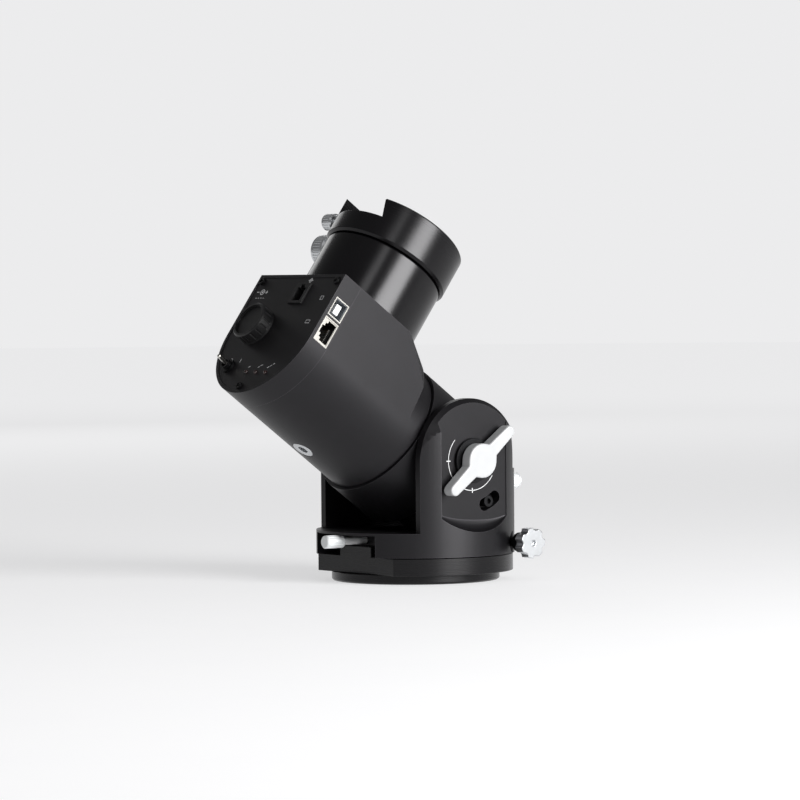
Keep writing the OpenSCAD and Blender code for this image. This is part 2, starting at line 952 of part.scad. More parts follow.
module control_panel() {
    color("#343338")
        ra_frame()
            difference() {
                translate([0, 0, panel_s])
                    linear_extrude(height = panel_t)
                        d_section(-panel_inset - 0.1);
                translate([power_at.x, power_at.y, panel_s - 1])
                    cylinder(r = cap_r - 2.5, h = panel_t + 2);
                translate([guide_at.x - 7, guide_at.y - 6.5, panel_s - 1])
                    cube([14, 13, panel_t + 2]);
                translate([switch_at.x, switch_at.y, panel_s - 1])
                    cylinder(r = 3.1, h = panel_t + 2);
                for (i = [-1 : 1])
                    translate([light_at.x, light_at.y + i * light_step, panel_s - 1])
                        cylinder(r = 1.25, h = panel_t + 2);
                for (at = panel_screw_at)
                    translate([at.x, at.y, panel_s - 1])
                        cylinder(r = 1.6, h = panel_t + 2);
            }
}

module panel_screws() {
    color(dark_steel)
        ra_frame()
            for (at = panel_screw_at)
                translate([at.x, at.y, panel_s + panel_t + 1.5])
                    mirror([0, 0, 1])
                        cap_screw(1.5, screw_head_r, 1.5, panel_t);
}

module power_socket() {
    color(black_plastic)
        ra_frame()
            translate([power_at.x, power_at.y, 0])
                difference() {
                    union() {
                        disc(cap_r - 2.5, panel_s - 8, panel_s + panel_t + 1);
                        disc(cap_r, panel_s + panel_t, panel_s + panel_t + 1);
                    }
                    tube(cap_r - 4.5, 2, panel_s - 5, panel_s + panel_t + 2);
                }
}

module power_cap() {
    color(black_plastic)
        ra_frame()
            translate([power_at.x, power_at.y, panel_s + panel_t + 1])
                difference() {
                    rotate_extrude()
                        polygon([
                            [0, 0], [cap_r, 0], [cap_r, 7.2], [cap_r - 0.8, 8], [cap_r - 2, 8],
                            [cap_r - 2, 6.4], [0, 6.4]]);
                    disc(cap_r - 4, -1, 4);
                    for (i = [0 : 17])
                        rotate([0, 0, i * 20])
                            translate([cap_r + 0.3, 0, 1.2])
                                cylinder(r = 0.7, h = 5.2, $fn = 16);
                }
}

module guide_socket() {
    color(black_plastic)
        ra_frame()
            translate([guide_at.x, guide_at.y, 0])
                difference() {
                    translate([-7, -6.5, panel_s - 12])
                        cube([14, 13, 12 + panel_t + 1.2]);
                    translate([-5.2, -4, panel_s - 8])
                        cube([9, 8, 20]);
                    translate([3.5, -2, panel_s - 8])
                        cube([2.4, 4, 20]);
                }
}

// A rectangular shell in the side of the port ring, open outwards
module side_shell(mid, width, height, depth = 15) {
    translate([mid, -dec_half + 0.3, port_mid_s])
        difference() {
            translate([-width / 2, 0, -height / 2])
                cube([width, depth, height]);
            translate([0.8 - width / 2, -1, 0.8 - height / 2])
                cube([width - 1.6, depth, height - 1.6]);
        }
}

module data_socket() {
    color(bare_steel)
        ra_frame() {
            side_shell(data_mid, data_w, data_h);
            translate([data_mid - 2.8, 2 - dec_half, port_mid_s - 1.6])
                cube([5.6, 13, 3.2]);
        }
}

module network_socket() {
    color(bare_steel)
        ra_frame() {
            side_shell(network_mid, network_w, network_h);
            for (i = [-3.5 : 3.5])
                translate([network_mid + 1.1 * i - 0.25, 5 - dec_half, port_mid_s - network_h / 2 + 0.8 - eps])
                    cube([0.5, 10, 0.9]);
        }
}

module power_switch() {
    color(bare_steel)
        ra_frame()
            translate([switch_at.x, switch_at.y, 0])
                difference() {
                    union() {
                        translate([-4, -3.5, panel_s - 10])
                            cube([8, 7, 9.5]);
                        disc(3, panel_s - 1, panel_s + panel_t + 4);
                        tube(4.4, 2.9, panel_s + panel_t, panel_s + panel_t + 1.8);
                    }
                    disc(2.3, panel_s - 4, panel_s + panel_t + 5);
                }
}

module switch_lever() {
    color(bright_aluminium)
        ra_frame()
            translate([switch_at.x, switch_at.y, panel_s + panel_t])
                rotate([switch_tilt, 0, 0]) {
                    sphere(r = 1.6, $fn = 32);
                    cylinder(r1 = 0.9, r2 = 1.3, h = 11, $fn = 32);
                    translate([0, 0, 11])
                        sphere(r = 1.3, $fn = 32);
                }
}

module status_lights() {
    color("#7d2a26")
        ra_frame()
            for (i = [-1 : 1])
                translate([light_at.x, light_at.y + i * light_step, 0]) {
                    disc(1.25, panel_s - 3, panel_s + panel_t);
                    translate([0, 0, panel_s + panel_t])
                        sphere(r = 1.2, $fn = 32);
                }
}

module main_board() {
    color(board_green)
        ra_frame() {
            translate([-24, -26, board_s])
                cube([48, 52, 1.6]);
            translate([-8, -8, board_s + 1.6])
                cube([14, 14, 1.2]);
            translate([-20, 8, board_s + 1.6])
                cube([8, 12, 3]);
            for (x = [-20, 20], y = [-22, 22])
                translate([x, y, 0])
                    disc(2.2, board_s - 4, board_s);
            for (y = [-22, 22])
                translate([-22, y - 3, board_s - 4])
                    cube([44, 6, 1.5]);
            translate([-3, -dec_half + shell_t, board_s - 4])
                cube([6, 2 * (dec_half - shell_t), 1.5]);
        }
}

module dec_drum() {
    color(black_anodised)
        dec_frame()
            difference() {
                rotate_extrude()
                    polygon([
                        [0, dec_top], [drum_r, dec_top], [drum_r, drum_top - 1],
                        [drum_r - 1, drum_top], [0, drum_top]]);
                disc(dec_drive_r + 0.2, dec_web_z, drum_top + 1);
                disc(cable_bore_r, dec_web_z - web_t - 1, dec_web_z + 1);
                disc(dec_drive_r - 8, dec_top - 1, dec_web_z - web_t);
            }
}

/* ---------- saddle ---------- */

module saddle() {
    color(black_anodised)
        dec_frame()
            difference() {
                rotate_extrude()
                    polygon([
                        [0, saddle_z], [saddle_r - 1.5, saddle_z], [saddle_r, saddle_z + 1.5],
                        [saddle_r, saddle_top - 1], [saddle_r - 1, saddle_top], [0, saddle_top]]);
                // dovetail channel and the seat of the moving jaw
                rotate([90, 0, 90])
                    linear_extrude(height = 4 * saddle_r, center = true)
                        polygon([
                            [-channel_top_half, saddle_top + 1], [-channel_top_half, saddle_top],
                            [-channel_w / 2, channel_z], [jaw_y, channel_z],
                            [jaw_y, saddle_z - 1], [2 * saddle_r, saddle_z - 1],
                            [2 * saddle_r, saddle_top + 1]]);
                translate([clamp_x, 0, clamp_z])
                    rotate([-90, 0, 0])
                        disc(clamp_screw_r + run_gap, 12, saddle_r);
                ring_of(4, saddle_screw_pcr, 45) {
                    disc(saddle_screw_r, saddle_z - 1, channel_z + 1);
                    disc(3.7, channel_z - 4, channel_z + 1);
                }
                for (x = [-guide_x, guide_x])
                    translate([x, 0, clamp_z])
                        rotate([-90, 0, 0])
                            disc(guide_r + run_gap, jaw_y - 9, saddle_r);
            }
}

module saddle_screws() {
    color(dark_steel)
        dec_frame()
            ring_of(4, saddle_screw_pcr, 45)
                translate([0, 0, channel_z - 0.6])
                    mirror([0, 0, 1])
                        cap_screw(saddle_screw_r, 3.5, 3.4, channel_z - saddle_z);
}

module saddle_jaw() {
    color(black_anodised)
        dec_frame()
            difference() {
                union() {
                    intersection() {
                        disc(saddle_r, saddle_z + 0.4, saddle_top);
                        rotate([90, 0, 90])
                            linear_extrude(height = 4 * saddle_r, center = true)
                                polygon([
                                    [channel_w / 2, channel_z + slide_gap],
                                    [channel_top_half, saddle_top], [2 * saddle_r, saddle_top],
                                    [2 * saddle_r, saddle_z], [jaw_y + slide_gap, saddle_z],
                                    [jaw_y + slide_gap, channel_z + slide_gap]]);
                    }
                    for (x = [-guide_x, guide_x])
                        translate([x, 0, clamp_z])
                            rotate([-90, 0, 0])
                                disc(guide_r, jaw_y - 7, jaw_y + 1);
                }
                translate([clamp_x, 0, clamp_z])
                    rotate([-90, 0, 0])
                        disc(clamp_screw_r + run_gap, jaw_y - 5, saddle_r + 1);
                translate([safety_x, 0, safety_z])
                    rotate([-90, 0, 0])
                        disc(2 + run_gap, 0, saddle_r + 1);
            }
}

module clamp_knob() {
    color(bright_aluminium)
        dec_frame()
            translate([clamp_x, 0, clamp_z])
                rotate([-90, 0, 0]) {
                    disc(clamp_screw_r, 16, saddle_r + 6);
                    disc(5, saddle_r + 0.3, saddle_r + 13);
                    translate([0, 0, saddle_r + 12])
                        knurled_grip(clamp_knob_r, 13, 36);
                }
}

module safety_knob() {
    jaw_edge = sqrt(saddle_r * saddle_r - safety_x * safety_x);
    color(bright_aluminium)
        dec_frame()
            translate([safety_x, 0, safety_z])
                rotate([-90, 0, 0]) {
                    disc(2, channel_w / 2 + 0.5, jaw_edge + 8);
                    translate([0, 0, jaw_edge + 7])
                        knurled_grip(safety_knob_r, 9, 20);
                }
}

pier_adapter();
base_screws();
base_plate();
azimuth_post();
azimuth_washer();
azimuth_retainer();
fork();
azimuth_screw_west();
azimuth_screw_east();
azimuth_knob_west();
azimuth_knob_east();
altitude_knob();
altitude_screw();
altitude_nut();
tilt_stop_knob();
ra_housing();
ra_tail_cap();
tilt_arm();
tilt_pins();
tilt_lever_west();
tilt_lever_east();
lever_studs();
slot_bolts();
ra_motor();
ra_wave_generator();
ra_circular_spline();
ra_bearing_outer();
ra_bearing_balls();
ra_bearing_inner();
ra_flexspline();
ra_output_flange();
dec_housing();
port_ring();
control_panel();
panel_screws();
power_socket();
power_cap();
guide_socket();
data_socket();
network_socket();
power_switch();
switch_lever();
status_lights();
main_board();
counterweight_plug();
dec_drum();
dec_motor();
dec_wave_generator();
dec_circular_spline();
dec_bearing_outer();
dec_bearing_balls();
dec_bearing_inner();
dec_flexspline();
dec_output_flange();
saddle();
saddle_jaw();
clamp_knob();
safety_knob();
saddle_screws();
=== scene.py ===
import bpy, bmesh, json, math
from mathutils import Matrix, Vector


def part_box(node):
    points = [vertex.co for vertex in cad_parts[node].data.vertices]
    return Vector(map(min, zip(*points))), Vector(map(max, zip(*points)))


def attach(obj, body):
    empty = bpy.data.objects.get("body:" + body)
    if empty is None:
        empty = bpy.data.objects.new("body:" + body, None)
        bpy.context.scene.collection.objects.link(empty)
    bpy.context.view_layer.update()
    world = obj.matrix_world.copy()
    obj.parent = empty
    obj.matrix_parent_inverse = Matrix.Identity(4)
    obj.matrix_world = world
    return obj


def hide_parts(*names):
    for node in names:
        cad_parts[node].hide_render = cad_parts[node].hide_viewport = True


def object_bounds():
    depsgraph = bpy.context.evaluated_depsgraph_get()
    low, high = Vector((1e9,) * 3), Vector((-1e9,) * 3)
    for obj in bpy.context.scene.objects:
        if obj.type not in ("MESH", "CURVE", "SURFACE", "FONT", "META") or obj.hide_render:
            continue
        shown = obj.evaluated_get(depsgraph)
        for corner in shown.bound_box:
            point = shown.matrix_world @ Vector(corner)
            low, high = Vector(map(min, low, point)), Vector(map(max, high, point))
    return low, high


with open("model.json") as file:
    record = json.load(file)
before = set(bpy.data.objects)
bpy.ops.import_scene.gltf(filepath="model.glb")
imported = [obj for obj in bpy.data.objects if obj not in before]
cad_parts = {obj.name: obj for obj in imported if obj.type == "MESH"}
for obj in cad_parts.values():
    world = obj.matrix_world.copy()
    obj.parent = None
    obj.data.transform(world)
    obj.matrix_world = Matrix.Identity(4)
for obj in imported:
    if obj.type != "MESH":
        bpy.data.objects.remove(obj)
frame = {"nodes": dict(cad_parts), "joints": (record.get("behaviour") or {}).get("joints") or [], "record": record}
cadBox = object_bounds()
record = frame["record"]
joints = {j["name"]: j for j in frame["joints"]}
bodyOf = {n: body for body, nodes in record["behaviour"]["bodies"].items() for n in nodes}
slotOf = {p["node"]: p["material_slot"] for p in record["subparts"]}
mm = 0.001

# Local frames. The polar one has Z up the polar axis and X up the declination axis.
polarAxis = Vector(joints["ra_turn"]["axis"])
decAxis = Vector(joints["dec_turn"]["axis"])
east = Vector((0, 1, 0))
pivot = Vector(joints["latitude_tilt"]["pos_m"])
polarPoint = Vector(joints["ra_turn"]["pos_m"])
polarZero = polarPoint + polarAxis * polarAxis.dot(pivot - polarPoint)


def axes(origin, x, y, z):
    turned = Matrix((x, y, z)).transposed().to_4x4()
    return Matrix.Translation(origin) @ turned


polarFrame = axes(polarZero, decAxis, east, polarAxis)


def boxIn(node, place):
    inverse = place.inverted()
    points = [inverse @ v.co for v in frame["nodes"][node].data.vertices]
    low = Vector([min(p[i] for p in points) for i in range(3)])
    high = Vector([max(p[i] for p in points) for i in range(3)])
    return low, high


# Camera, lights, floor

cameraSet = {
    "azimuth": 37.84, "distance": 2.42389, "height": 0.17556,
    "pitch": -1.65, "roll": -0.46, "yaw": -0.2, "lens": 184.92,
}


def makeCamera():
    azimuth = math.radians(cameraSet["azimuth"])
    look = azimuth + math.radians(cameraSet["yaw"])
    pitch = math.radians(cameraSet["pitch"])
    roll = math.radians(cameraSet["roll"])
    forward = Vector((math.sin(look) * math.cos(pitch), math.cos(look) * math.cos(pitch), math.sin(pitch)))
    right = Vector((math.cos(look), -math.sin(look), 0))
    up = right.cross(forward)
    rolledRight = right * math.cos(roll) + up * math.sin(roll)
    rolledUp = up * math.cos(roll) - right * math.sin(roll)
    place = Vector((-math.sin(azimuth), -math.cos(azimuth), 0)) * cameraSet["distance"]
    place.z = cameraSet["height"]
    data = bpy.data.cameras.new("camera")
    data.lens = cameraSet["lens"]
    data.sensor_width = 36
    camera = bpy.data.objects.new("camera", data)
    camera.matrix_world = axes(place, rolledRight, rolledUp, -forward)
    bpy.context.scene.collection.objects.link(camera)
    bpy.context.scene.camera = camera


# Soft boxes round the object. Azimuth turns from +Y towards +X and height is above the floor plane,
# both in degrees; distance and size are in metres.
lightSet = {
    "southBox": {"azimuth": 170, "height": 13, "distance": 1.6, "size": (0.95, 0.8), "watts": 42},
    "backGlow": {"azimuth": 18, "height": 17, "distance": 2.6, "size": (2.2, 0.7), "watts": 6},
    "westFill": {"azimuth": -150, "height": 38, "distance": 1.9, "size": (0.5, 0.5), "watts": 3},
}
studioSet = {
    "aim": (-0.02, 0, 0.12), "seen": 0.87, "ambient": 0.18, "paperGlow": (0.6, 0.77), "glowReach": (0.5, 4.0),
    "white": "fbfbfc", "floorRadius": 9, "floorGap": 0.0002,
}


def makeLights():
    aim = Vector(studioSet["aim"])
    for name, values in lightSet.items():
        azimuth, height = math.radians(values["azimuth"]), math.radians(values["height"])
        level = Vector((math.sin(azimuth), math.cos(azimuth), 0))
        away = level * math.cos(height) + Vector((0, 0, math.sin(height)))
        data = bpy.data.lights.new(name, "AREA")
        data.shape = "RECTANGLE"
        data.size, data.size_y = values["size"]
        data.energy = values["watts"]
        light = bpy.data.objects.new(name, data)
        light.location = aim + away * values["distance"]
        light.rotation_euler = (-away).to_track_quat("-Z", "Y").to_euler()
        light.visible_camera = False
        bpy.context.scene.collection.objects.link(light)


# The room is dim, and the paper behind the object looks as bright as the floor
def makeWorld():
    world = bpy.data.worlds.new("studio")
    bpy.context.scene.world = world
    world.use_nodes = True
    tree = world.node_tree
    backdrop = tree.nodes["Background"]
    backdrop.inputs["Color"].default_value = hexColour(studioSet["white"])
    ray = addNode(tree, "ShaderNodeLightPath")
    level = addNode(tree, "ShaderNodeMapRange",
                    values={"To Min": studioSet["ambient"], "To Max": studioSet["seen"]},
                    links={"Value": ray.outputs["Is Camera Ray"]})
    tree.links.new(level.outputs["Result"], backdrop.inputs["Strength"])


# sRGB hex to the linear colour that the shaders take
def hexColour(code):
    channels = [int(code[i:i + 2], 16) / 255 for i in (0, 2, 4)]
    return [c / 12.92 if c <= 0.04045 else ((c + 0.055) / 1.055) ** 2.4 for c in channels] + [1]


def makeFloor():
    mesh = bpy.data.meshes.new("studioFloor")
    bm = bmesh.new()
    bmesh.ops.create_circle(bm, cap_ends=True, radius=studioSet["floorRadius"], segments=96)
    bm.to_mesh(mesh)
    bm.free()
    floor = bpy.data.objects.new("studioFloor", mesh)
    bpy.context.scene.collection.objects.link(floor)
    floor.location.z = cadBox[0][2] - studioSet["floorGap"]
    mesh.materials.append(studioPaper())


# Materials: each starts from the metal or plastic that the piece is made of and how it was finished

def newMaterial(name):
    material = bpy.data.materials.new(name)
    material.use_nodes = True
    tree = material.node_tree
    return material, tree, tree.nodes["Principled BSDF"]


# Adds a node, sets its options and input values, and links its inputs
def addNode(tree, kind, options=(), values=(), links=()):
    node = tree.nodes.new(kind)
    for key, value in dict(options).items():
        setattr(node, key, value)
    for key, value in dict(values).items():
        node.inputs[key].default_value = value
    for key, socket in dict(links).items():
        tree.links.new(socket, node.inputs[key])
    return node


# Pattern scale from the real size of one grain, ring or cloud
def perMetre(sizeInMm):
    return 1000 / sizeInMm


def studioPaper():
    # seamless background paper: matt, nearly white, a faint fibre mottle
    material, tree, shader = newMaterial("seamlessPaper")
    place = addNode(tree, "ShaderNodeTexCoord")
    fibre = addNode(tree, "ShaderNodeTexNoise", values={"Scale": perMetre(60), "Detail": 3},
                    links={"Vector": place.outputs["Object"]})
    tint = addNode(tree, "ShaderNodeMix", {"data_type": "RGBA"},
                   {6: hexColour("a6a6a7"), 7: hexColour("a9a9a9")}, {0: fibre.outputs["Fac"]})
    tree.links.new(tint.outputs[2], shader.inputs["Base Color"])
    shader.inputs["Emission Color"].default_value = hexColour(studioSet["white"])
    far = addNode(tree, "ShaderNodeVectorMath", {"operation": "LENGTH"}, links={0: place.outputs["Object"]})
    # lit from below like a light table, a little more away from the lamps, so the floor is nearly one tone
    glow = addNode(tree, "ShaderNodeMapRange", {"interpolation_type": "SMOOTHSTEP"},
                   {"From Min": studioSet["glowReach"][0], "From Max": studioSet["glowReach"][1],
                    "To Min": studioSet["paperGlow"][0], "To Max": studioSet["paperGlow"][1]},
                   {"Value": far.outputs["Value"]})
    tree.links.new(glow.outputs["Result"], shader.inputs["Emission Strength"])
    shader.inputs["Roughness"].default_value = 0.9
    shader.inputs["Specular IOR Level"].default_value = 0.2
    return material


# Wear of the dye at an edge: width in mm, then how far the rounded normal turns where it begins and is full
wornSet = {"edge": 0.5, "begins": 0.995, "full": 0.85, "share": 0.6}


# Black anodised aluminium, bead blasted before the dye: a soft wide highlight, a fine satin grain,
# a little lighter along the edges where the oxide rubs thin.
def anodisedBlack(name, dark, light, edge, roughness=0.4, grainMm=0.7, grain=0.05):
    material, tree, shader = newMaterial(name)
    place = addNode(tree, "ShaderNodeTexCoord")
    cloud = addNode(tree, "ShaderNodeTexNoise", values={"Scale": perMetre(18), "Detail": 4, "Roughness": 0.6},
                    links={"Vector": place.outputs["Object"]})
    blast = addNode(tree, "ShaderNodeTexNoise", values={"Scale": perMetre(grainMm), "Detail": 2},
                    links={"Vector": place.outputs["Object"]})
    dye = addNode(tree, "ShaderNodeMix", {"data_type": "RGBA"},
                  {6: hexColour(dark), 7: hexColour(light)}, {0: cloud.outputs["Fac"]})
    rounded = addNode(tree, "ShaderNodeBevel", {"samples": 4}, {"Radius": wornSet["edge"] * mm})
    flat = addNode(tree, "ShaderNodeNewGeometry")
    facing = addNode(tree, "ShaderNodeVectorMath", {"operation": "DOT_PRODUCT"},
                     links={0: rounded.outputs["Normal"], 1: flat.outputs["Normal"]})
    wear = {"From Min": wornSet["begins"], "From Max": wornSet["full"], "To Max": wornSet["share"]}
    worn = addNode(tree, "ShaderNodeMapRange", values=wear, links={"Value": facing.outputs["Value"]})
    edged = addNode(tree, "ShaderNodeMix", {"data_type": "RGBA"}, {7: hexColour(edge)},
                    {0: worn.outputs["Result"], 6: dye.outputs[2]})
    gloss = addNode(tree, "ShaderNodeMapRange",
                    values={"To Min": roughness - 0.04, "To Max": roughness + 0.05},
                    links={"Value": blast.outputs["Fac"]})
    bump = addNode(tree, "ShaderNodeBump", values={"Strength": grain, "Distance": 0.1 * mm},
                   links={"Height": blast.outputs["Fac"]})
    tree.links.new(edged.outputs[2], shader.inputs["Base Color"])
    tree.links.new(gloss.outputs["Result"], shader.inputs["Roughness"])
    tree.links.new(bump.outputs["Normal"], shader.inputs["Normal"])
    shader.inputs["Metallic"].default_value = 0.55
    return material


# Metal turned on a lathe about one axis: fine rings across the axis, so the highlight breaks into lines.
def turnedMetal(name, axis, dark, light, roughness, pitchMm=0.5, metallic=1.0, depth=0.25):
    material, tree, shader = newMaterial(name)
    place = addNode(tree, "ShaderNodeTexCoord")
    along = addNode(tree, "ShaderNodeVectorMath", {"operation": "DOT_PRODUCT"}, {1: axis},
                    {0: place.outputs["Object"]})
    rings = addNode(tree, "ShaderNodeTexNoise", {"noise_dimensions": "1D"},
                    {"Scale": perMetre(pitchMm), "Detail": 2}, {"W": along.outputs["Value"]})
    cloud = addNode(tree, "ShaderNodeTexNoise", values={"Scale": perMetre(9), "Detail": 4},
                    links={"Vector": place.outputs["Object"]})
    shade = addNode(tree, "ShaderNodeMix", {"data_type": "RGBA"},
                    {6: hexColour(dark), 7: hexColour(light)}, {0: cloud.outputs["Fac"]})
    gloss = addNode(tree, "ShaderNodeMapRange",
                    values={"To Min": roughness - 0.05, "To Max": roughness + 0.06},
                    links={"Value": rings.outputs["Fac"]})
    bump = addNode(tree, "ShaderNodeBump", values={"Strength": depth, "Distance": 0.05 * mm},
                   links={"Height": rings.outputs["Fac"]})
    tree.links.new(shade.outputs[2], shader.inputs["Base Color"])
    tree.links.new(gloss.outputs["Result"], shader.inputs["Roughness"])
    tree.links.new(bump.outputs["Normal"], shader.inputs["Normal"])
    shader.inputs["Metallic"].default_value = metallic
    return material


# Moulded plastic, enamel or ink: a clear-edged highlight over a low pebble grain from the tool.
def mouldedPlastic(name, dark, light, roughness, grainMm=0.8, grain=0.15, coat=0.0):
    material, tree, shader = newMaterial(name)
    place = addNode(tree, "ShaderNodeTexCoord")
    pebble = addNode(tree, "ShaderNodeTexVoronoi", values={"Scale": perMetre(grainMm)},
                     links={"Vector": place.outputs["Object"]})
    cloud = addNode(tree, "ShaderNodeTexNoise", values={"Scale": perMetre(6), "Detail": 3},
                    links={"Vector": place.outputs["Object"]})
    shade = addNode(tree, "ShaderNodeMix", {"data_type": "RGBA"},
                    {6: hexColour(dark), 7: hexColour(light)}, {0: cloud.outputs["Fac"]})
    bump = addNode(tree, "ShaderNodeBump", values={"Strength": grain, "Distance": 0.08 * mm},
                   links={"Height": pebble.outputs["Distance"]})
    tree.links.new(shade.outputs[2], shader.inputs["Base Color"])
    tree.links.new(bump.outputs["Normal"], shader.inputs["Normal"])
    shader.inputs["Roughness"].default_value = roughness
    shader.inputs["IOR"].default_value = 1.49
    shader.inputs["Coat Weight"].default_value = coat
    return material


materials = {
    # anodised aluminium, blasted: soft wide sheen, paler rubbed edges
    "housing": anodisedBlack("blastedAnodisedAluminium", "1a191b", "201f22", "4a484c", 0.4),
    "fork": anodisedBlack("milledAnodisedAluminium", "171618", "1d1c1f", "48464a", 0.38),
    "panel": anodisedBlack("panelAnodisedAluminium", "1c1b1d", "222123", "403e42", 0.44, 0.6, 0.08),
    # anodised after turning: one tight bright streak along the axis
    "drum": turnedMetal("turnedAnodisedAluminium", decAxis, "0f0e10", "141315", 0.2, 0.5, 0.5, 0.12),
    "saddle": turnedMetal("turnedAnodisedSaddle", decAxis, "0f0e10", "141315", 0.24, 0.6, 0.5, 0.12),
    "base": turnedMetal("turnedAnodisedBase", (0, 0, 1), "0e0d0f", "131214", 0.27, 0.5, 0.5, 0.12),
    # white enamel on cast zinc: smooth, slightly glossy
    "lever": mouldedPlastic("enamelledZinc", "adaeaf", "b5b6b7", 0.34, 0.6, 0.04, 0.15),
    # bare aluminium off the lathe: fine rings and a broken highlight
    "knobY": turnedMetal("turnedAluminiumAcross", (0, 1, 0), "c9cbcd", "dcdee0", 0.3),
    "plug": turnedMetal("turnedAluminiumPlug", decAxis, "c4c6c8", "dadcde", 0.36),
    # blasted and zinc-plated small parts: pale and nearly matt
    "satin": turnedMetal("beadBlastedAluminium", (1, 0, 0), "d6d8d9", "e6e8e9", 0.48, 0.5, 0.5),
    "rod": turnedMetal("zincPlatedRod", (1, 0, 0), "dfe0e1", "ececec", 0.45, 0.8, 0.35),
    # ground, nickelled and tinned steel: clean mirrors with a faint tint
    "steel": turnedMetal("brightGroundSteel", polarAxis, "8e9093", "a9abae", 0.28, 0.3),
    "nickel": turnedMetal("nickelPlatedSteel", polarAxis, "b9b7b2", "d0cec9", 0.27, 0.8, 1.0, 0.08),
    "shield": turnedMetal("tinPlatedSteel", polarAxis, "8f8d88", "a3a19c", 0.36, 0.8, 0.9, 0.08),
    # black oxide: dark and slightly oily; bronze: warm and dull
    "blackSteel": turnedMetal("blackOxideSteel", (0, 0, 1), "141415", "1f1f21", 0.4, 0.4, 0.8, 0.1),
    "bronze": turnedMetal("machinedBronze", (0, 0, 1), "96683a", "ab7b48", 0.35),
    # moulded plastics: satin black, grey and white
    "abs": mouldedPlastic("mouldedBlackAbs", "0b0b0c", "111112", 0.38),
    "socketAbs": mouldedPlastic("mouldedSocketAbs", "060607", "0b0b0c", 0.5, 0.6, 0.1),
    "greyAbs": mouldedPlastic("mouldedGreyAbs", "5d6268", "70757b", 0.45, 0.6, 0.1),
    "whiteAbs": mouldedPlastic("mouldedWhiteAbs", "dfe1e2", "eeefef", 0.4, 0.7, 0.05),
    # solder resist, red lens and printed ink
    "board": mouldedPlastic("solderResist", "174a2e", "1f5f3b", 0.35, 1.2, 0.1, 0.3),
    "lens": mouldedPlastic("mouldedRedLens", "200908", "2c0e0c", 0.2, 1.0, 0.02, 0.5),
    "ink": mouldedPlastic("screenPrintedWhiteInk", "d9dadb", "e9eaea", 0.6, 0.4, 0.1),
}
print("materials made:", len(materials))

# Material of each CAD node, by the record's slot unless the node is named here
bySlot = {
    "black_anodised": "housing", "bright_aluminium": "knobY", "bare_steel": "steel",
    "dark_steel": "blackSteel", "bronze": "bronze", "black_plastic": "socketAbs",
    "panel_black": "panel", "board_green": "board", "red_plastic": "lens",
}
byNode = {
    "fork": "fork", "ra_housing": "fork", "base_plate": "base", "pier_adapter": "base", "dec_drum": "drum",
    "saddle": "saddle", "saddle_jaw": "saddle", "altitude_knob": "satin", "tilt_stop_knob": "satin",
    "altitude_screw": "rod", "tilt_lever_west": "lever", "tilt_lever_east": "lever",
    "counterweight_plug": "plug",
    "data_socket": "shield", "network_socket": "shield", "switch_lever": "nickel", "power_cap": "abs",
    "power_switch": "blackSteel", "tilt_pins": "blackSteel",
}
for name, node in frame["nodes"].items():
    node.data.materials.clear()
    node.data.materials.append(materials[byNode.get(name, bySlot[slotOf[name]])])


# Pieces

shapeSet = {"merge": 0.002, "flatWithin": 0.5, "breakAbove": 28, "sharpAbove": 40, "knurlAbove": 35}


def newPiece(name, mesh, body, material):
    piece = bpy.data.objects.new(name, mesh)
    bpy.context.scene.collection.objects.link(piece)
    mesh.materials.clear()
    mesh.materials.append(material)
    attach(piece, body)
    return piece


def finishMesh(name, bm):
    bmesh.ops.recalc_face_normals(bm, faces=bm.faces)
    mesh = bpy.data.meshes.new(name)
    bm.to_mesh(mesh)
    bm.free()
    return mesh


# Joins rows of points into a closed strip with ends, or into a ring
def joinRows(bm, rows, ring=False):
    count = len(rows[0])
    for i in range(len(rows) if ring else len(rows) - 1):
        one, two = rows[i], rows[(i + 1) % len(rows)]
        for k in range(count):
            bm.faces.new((one[k], one[(k + 1) % count], two[(k + 1) % count], two[k]))
    if not ring:
        bm.faces.new(rows[0])
        bm.faces.new(rows[-1][::-1])


def bevelEdges(piece, width, segments, above):
    bevel = piece.modifiers.new("brokenEdge", "BEVEL")
    bevel.width = width * mm
    bevel.segments = segments
    bevel.limit_method = "ANGLE"
    bevel.angle_limit = math.radians(above)


def smoothMesh(mesh, above):
    mesh.shade_smooth()
    mesh.set_sharp_from_angle(angle=math.radians(above))


# Plane of a cheek: X across it, Y up, Z out of it, from the tilt pivot in the middle of the mount
def cheekFrame(side):
    return axes(pivot - east * pivot.y, Vector((-side, 0, 0)), Vector((0, 0, 1)), east * side)


west, eastSide = -1, 1
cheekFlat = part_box("slot_bolts")[1].y + 1 * mm
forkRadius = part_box("fork")[1].y

# Machined parts with their sharp edges broken: the CAD shape with a small radius on every edge
edgeBreak = {
    "dec_housing": 0.25, "port_ring": 0.4, "control_panel": 0.35, "fork": 0.35, "base_plate": 0.3,
    "pier_adapter": 0.3, "saddle": 0.3, "saddle_jaw": 0.3, "dec_drum": 0.25, "ra_housing": 0.2,
    "azimuth_knob_west": 0.5, "azimuth_knob_east": 0.5,
    "counterweight_plug": 0.35, "tilt_pins": 0.3, "power_cap": 0.3, "power_socket": 0.2,
    "guide_socket": 0.2, "panel_screws": 0.15, "azimuth_screw_west": 0.3, "azimuth_screw_east": 0.3,
}


